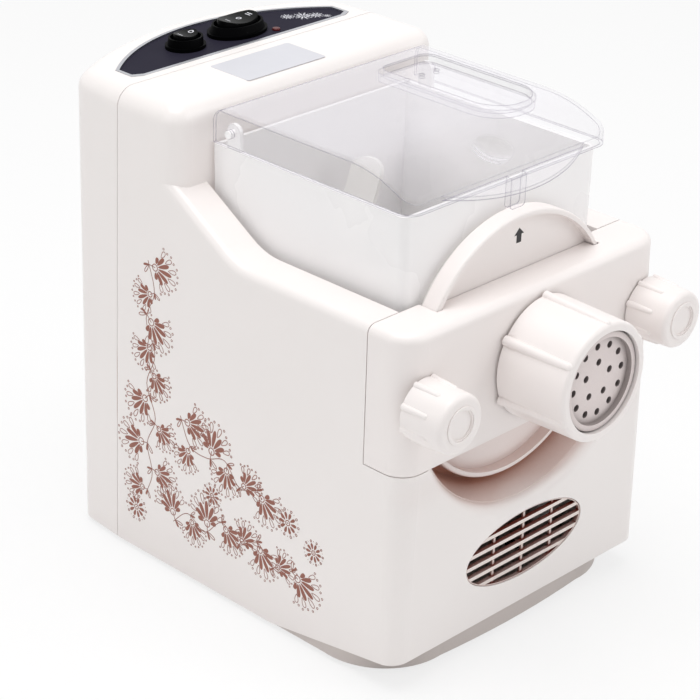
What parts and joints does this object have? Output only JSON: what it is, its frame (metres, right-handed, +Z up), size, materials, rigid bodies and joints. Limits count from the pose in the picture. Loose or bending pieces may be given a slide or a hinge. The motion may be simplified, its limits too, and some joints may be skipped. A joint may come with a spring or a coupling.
{
  "type": "electric pasta maker",
  "caption": "Table top electric pasta maker with a clear lidded mixing bowl, clamped front plate, ribbed die nut, rocker switches and an oval vent.",
  "frame": {"origin": "on the table, under the middle of the overall length and width", "axes": "+Z up, -Y out of the die, +X to the right seen from the front"},
  "size_m": [0.2145, 0.3306, 0.2918],
  "materials": {
    "ivory_shell": "satin moulded plastic",
    "ivory_fittings": "satin moulded plastic",
    "die_plastic": "fine moulded grain",
    "clear_lid": "clear polished plastic",
    "milky_bowl": "translucent frosted plastic",
    "white_auger": "smooth moulded plastic",
    "panel_print": "satin film",
    "silver_trim": "bright silver film",
    "black_rubber": "satin rubber",
    "seal_rubber": "pale silicone",
    "red_lens": "clear red lens",
    "grille_plastic": "moulded plastic",
    "black_plastic": "moulded plastic",
    "steel": "turned steel",
    "zinc_screw": "zinc plated",
    "brass_insert": "turned brass",
    "bronze_bush": "sintered bronze",
    "gear_nylon": "moulded nylon",
    "case_plastic": "glass filled plastic",
    "lamination": "stacked sheet steel",
    "copper_wire": "enamelled copper wire",
    "circuit_green": "solder mask",
    "component_black": "moulded parts",
    "base_plastic": "moulded plastic"
  },
  "bodies": {
    "housing": {"front_housing": "ivory_shell", "rear_cover": "ivory_shell", "base_plate": "base_plastic", "rubber_feet": "black_rubber", "vent_grille": "grille_plastic", "control_panel": "panel_print", "panel_trim": "silver_trim", "large_switch_boot": "black_rubber", "small_switch_boot": "black_rubber", "large_switch_body": "black_plastic", "small_switch_body": "black_plastic", "indicator_lamp": "red_lens", "stud_left": "steel", "stud_right": "steel", "drive_seal": "seal_rubber", "gearbox_case": "case_plastic", "gearbox_cover": "case_plastic", "front_shaft_bushes": "bronze_bush", "rear_shaft_bushes": "bronze_bush", "motor_stator": "lamination", "stator_windings": "copper_wire", "motor_frame": "steel", "brush_holders": "black_plastic", "motor_cradle": "base_plastic", "circuit_board": "circuit_green", "board_components": "component_black", "board_standoffs": "base_plastic", "power_inlet": "black_plastic", "lid_switch": "black_plastic", "rear_screws": "zinc_screw", "base_screws": "zinc_screw"},
    "bowl": {"mixing_bowl": "milky_bowl"},
    "lid": {"lid": "clear_lid"},
    "auger": {"mixing_auger": "white_auger"},
    "front_clamp": {"front_bracket": "ivory_fittings", "front_plate": "ivory_fittings", "front_seal": "seal_rubber", "die_plate": "die_plastic"},
    "nut": {"die_nut": "ivory_fittings"},
    "left_knob": {"knob_left": "ivory_fittings", "knob_insert_left": "brass_insert"},
    "right_knob": {"knob_right": "ivory_fittings", "knob_insert_right": "brass_insert"},
    "output_stage": {"output_gear": "gear_nylon", "drive_shaft": "steel"},
    "second_stage": {"second_gear": "gear_nylon", "second_pinion": "steel", "second_shaft": "steel"},
    "first_stage": {"first_gear": "gear_nylon", "first_pinion": "steel", "first_shaft": "steel"},
    "rotor": {"motor_rotor": "lamination", "commutator": "copper_wire", "motor_shaft": "steel", "motor_pinion": "steel", "cooling_fan": "black_plastic"},
    "large_rocker": {"large_rocker": "black_plastic"},
    "small_rocker": {"small_rocker": "black_plastic"}
  },
  "joints": [
    {"name": "bowl_slide", "type": "slide", "parent": "housing", "child": "bowl", "axis": [0, -1, 0], "range_m": [0, 0.06]},
    {"name": "front_clamp_slide", "type": "slide", "parent": "bowl", "child": "front_clamp", "axis": [0, -1, 0], "range_m": [0, 0.06]},
    {"name": "lid_hinge", "type": "hinge", "parent": "bowl", "child": "lid", "pos_m": [0, 0.03475, 0.269], "axis": [-1, 0, 0], "range_deg": [0, 85]},
    {"name": "auger_turn", "type": "hinge", "parent": "bowl", "child": "auger", "pos_m": [0, 0.02275, 0.1695], "axis": [0, 1, 0], "continuous": true},
    {"name": "die_nut_turn", "type": "hinge", "parent": "front_clamp", "child": "nut", "pos_m": [0, -0.14225, 0.1695], "axis": [0, 1, 0], "continuous": true},
    {"name": "left_knob_turn", "type": "hinge", "parent": "front_clamp", "child": "left_knob", "pos_m": [-0.0902, -0.13225, 0.1695], "axis": [0, 1, 0], "continuous": true},
    {"name": "right_knob_turn", "type": "hinge", "parent": "front_clamp", "child": "right_knob", "pos_m": [0.0902, -0.13225, 0.1695], "axis": [0, 1, 0], "continuous": true},
    {"name": "output_turn", "type": "hinge", "parent": "housing", "child": "output_stage", "pos_m": [0, 0.06875, 0.1695], "axis": [0, 1, 0], "continuous": true},
    {"name": "second_stage_turn", "type": "hinge", "parent": "housing", "child": "second_stage", "pos_m": [0.02, 0.07275, 0.11719], "axis": [0, 1, 0], "continuous": true},
    {"name": "first_stage_turn", "type": "hinge", "parent": "housing", "child": "first_stage", "pos_m": [-0.01985, 0.08275, 0.08301], "axis": [0, 1, 0], "continuous": true},
    {"name": "motor_turn", "type": "hinge", "parent": "housing", "child": "rotor", "pos_m": [0, 0.02275, 0.046], "axis": [0, 1, 0], "continuous": true},
    {"name": "large_rocker_tilt", "type": "hinge", "parent": "housing", "child": "large_rocker", "pos_m": [0.012, 0.12525, 0.278], "axis": [0, 1, 0], "range_deg": [-8, 8]},
    {"name": "small_rocker_tilt", "type": "hinge", "parent": "housing", "child": "small_rocker", "pos_m": [-0.028, 0.12525, 0.278], "axis": [0, 1, 0], "range_deg": [-8, 8]}
  ],
  "couplings": [
    {"joint": "output_turn", "follows": "auger_turn", "ratio": 1},
    {"joint": "second_stage_turn", "follows": "auger_turn", "ratio": -3},
    {"joint": "first_stage_turn", "follows": "auger_turn", "ratio": 12},
    {"joint": "motor_turn", "follows": "auger_turn", "ratio": -60}
  ]
}
